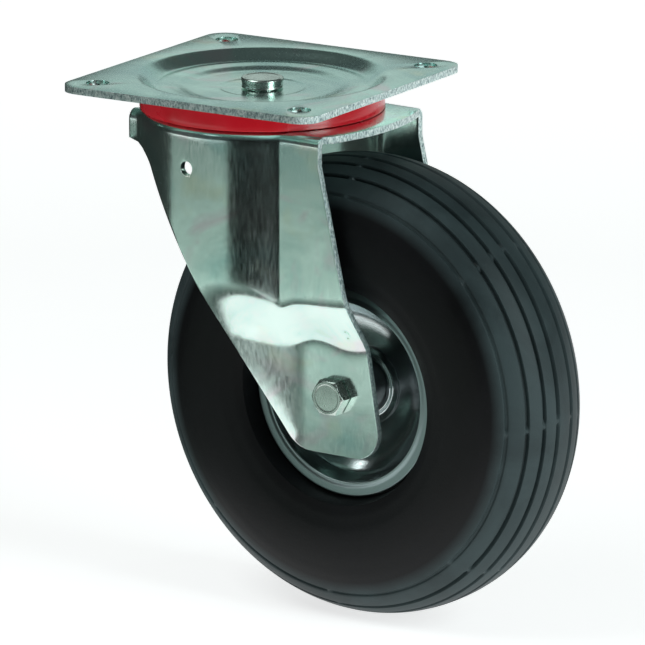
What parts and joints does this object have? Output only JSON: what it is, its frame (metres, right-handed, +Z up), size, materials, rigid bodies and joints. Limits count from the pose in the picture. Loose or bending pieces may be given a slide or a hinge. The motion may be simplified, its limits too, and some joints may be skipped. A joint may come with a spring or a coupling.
{
  "type": "plate-mounted swivel castor with air-filled wheel",
  "caption": "Swivel castor: pressed steel top plate and round-crowned fork on a ball-bearing head, carrying a ribbed air-filled wheel on a steel rim.",
  "frame": {"origin": "on the swivel axis, at the plane of the mounting plate's flat top face", "axes": "+Z up out of the plate along the swivel axis, X and Y along the plate's sides. At rest the wheel trails towards +X, turned 4 degrees towards -Y, with the axle bolt's head on the -Y side"},
  "size_m": [0.286, 0.1676, 0.296],
  "materials": {
    "zinc_steel": "blue-green passivated zinc, semi-gloss, slightly mottled",
    "bolt_steel": "zinc plated, semi-gloss",
    "rim_steel": "bright zinc, polished",
    "bearing_steel": "ground steel, greased",
    "red_seal": "smooth glossy red",
    "black_plastic": "matte black",
    "tyre_rubber": "black rubber with a slight sheen",
    "tube_rubber": "matte black rubber"
  },
  "bodies": {
    "plate": {"top_plate": "zinc_steel", "king_bolt": "bolt_steel", "king_sleeve": "bearing_steel", "lower_race": "zinc_steel", "king_nut": "bolt_steel"},
    "swivel": {"fork": "zinc_steel", "dust_seal": "red_seal", "axle_bolt": "bolt_steel", "axle_washer": "bolt_steel", "axle_nut": "bolt_steel", "axle_sleeve": "bearing_steel", "spacer_near": "bearing_steel", "spacer_far": "bearing_steel"},
    "wheel": {"hub_tube": "rim_steel", "hub_seal_near": "black_plastic", "hub_seal_far": "black_plastic", "rim_near": "rim_steel", "rim_far": "rim_steel", "tyre": "tyre_rubber", "inner_tube": "tube_rubber", "valve_stem": "tube_rubber", "valve_cap": "black_plastic"},
    "swivel_balls": {"upper_ball_row": "bearing_steel", "lower_ball_row": "bearing_steel"},
    "wheel_rollers": {"roller_cage_near": "bearing_steel", "roller_cage_far": "bearing_steel"}
  },
  "joints": [
    {"name": "swivel_turn", "type": "hinge", "parent": "plate", "child": "swivel", "pos_m": [0, 0, 0], "axis": [0, 0, 1], "continuous": true},
    {"name": "wheel_spin", "type": "hinge", "parent": "swivel", "child": "wheel", "pos_m": [0.07432, -0.0052, -0.166], "axis": [0.0698, 0.9976, 0], "continuous": true},
    {"name": "ball_rows_turn", "type": "hinge", "parent": "plate", "child": "swivel_balls", "pos_m": [0, 0, -0.0145], "axis": [0, 0, 1], "continuous": true},
    {"name": "roller_cages_turn", "type": "hinge", "parent": "swivel", "child": "wheel_rollers", "pos_m": [0.07432, -0.0052, -0.166], "axis": [0.0698, 0.9976, 0], "continuous": true}
  ],
  "couplings": [
    {"joint": "ball_rows_turn", "follows": "swivel_turn", "ratio": 0.5},
    {"joint": "roller_cages_turn", "follows": "wheel_spin", "ratio": 0.45}
  ]
}
